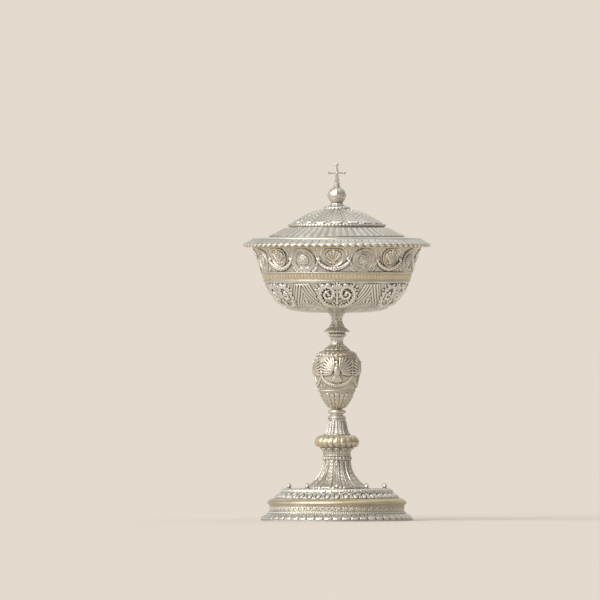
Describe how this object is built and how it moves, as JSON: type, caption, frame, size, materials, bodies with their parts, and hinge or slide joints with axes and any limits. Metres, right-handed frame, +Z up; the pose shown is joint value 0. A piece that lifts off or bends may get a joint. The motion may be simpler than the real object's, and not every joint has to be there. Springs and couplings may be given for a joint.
{
  "type": "lidded ciborium",
  "caption": "Tall lidded church vessel: wide chased cup with a gilt lining on a baluster stem and stepped round foot, with a lift-off domed lid topped by an orb and cross.",
  "frame": {"origin": "centre of the foot's flat resting face", "axes": "+Z up along the vessel's axis; the cross's broad face looks along -Y, its arms lie along X"},
  "size_m": [0.1872, 0.1872, 0.357],
  "materials": {
    "silver": "satin antique silver, dark in the chased recesses",
    "parcel_gilt": "worn pale gilding over silver",
    "gilt_lining": "smooth polished gilding",
    "fastener": "dull tinned metal"
  },
  "bodies": {
    "vessel": {"bowl_support_neck": "silver", "calyx_leaves": "silver", "cone_cap_ring": "silver", "cup_band": "parcel_gilt", "cup_boss": "fastener", "cup_frieze": "silver", "cup_liner": "gilt_lining", "cup_shell": "silver", "fluted_cone": "silver", "foot_bead_ring": "silver", "foot_cornice": "parcel_gilt", "foot_egg_moulding": "silver", "foot_finials": "silver", "foot_frieze_drum": "silver", "foot_leaf_moulding": "silver", "foot_nut": "fastener", "foot_plinth_ring": "silver", "foot_top_plate": "silver", "foot_washer": "fastener", "frieze_swags": "silver", "gadroon_collar": "parcel_gilt", "head_medallions": "silver", "hung_roundels": "parcel_gilt", "knop_band": "parcel_gilt", "knop_base_ring": "silver", "knop_lower_cup": "silver", "knop_neck_leaves": "silver", "knop_upper_shell": "silver", "lower_cup_wire": "silver", "neck_bead_ring": "silver", "neck_flange": "silver", "neck_spool": "silver", "shaft_capital": "silver", "shaft_leaf_ring": "silver", "tie_rod": "fastener", "trumpet_shaft": "parcel_gilt", "upper_cup_wire": "silver"},
    "lid": {"lid_rim_moulding": "silver", "lid_bezel": "gilt_lining", "lid_dome": "silver", "lid_tongue_band": "silver", "lid_cord_ring": "silver", "lid_leaf_cap": "silver", "finial_collar": "silver", "finial_neck": "silver", "orb_lower": "parcel_gilt", "orb_band": "silver", "orb_upper": "parcel_gilt", "orb_strap": "silver", "cross_socket": "silver", "cross": "silver", "finial_stud": "fastener", "finial_washer": "fastener", "finial_nut": "fastener"}
  },
  "joints": [
    {"name": "lid_lift", "type": "slide", "parent": "vessel", "child": "lid", "axis": [0, 0, 1], "range_m": [0, 0.12]}
  ]
}
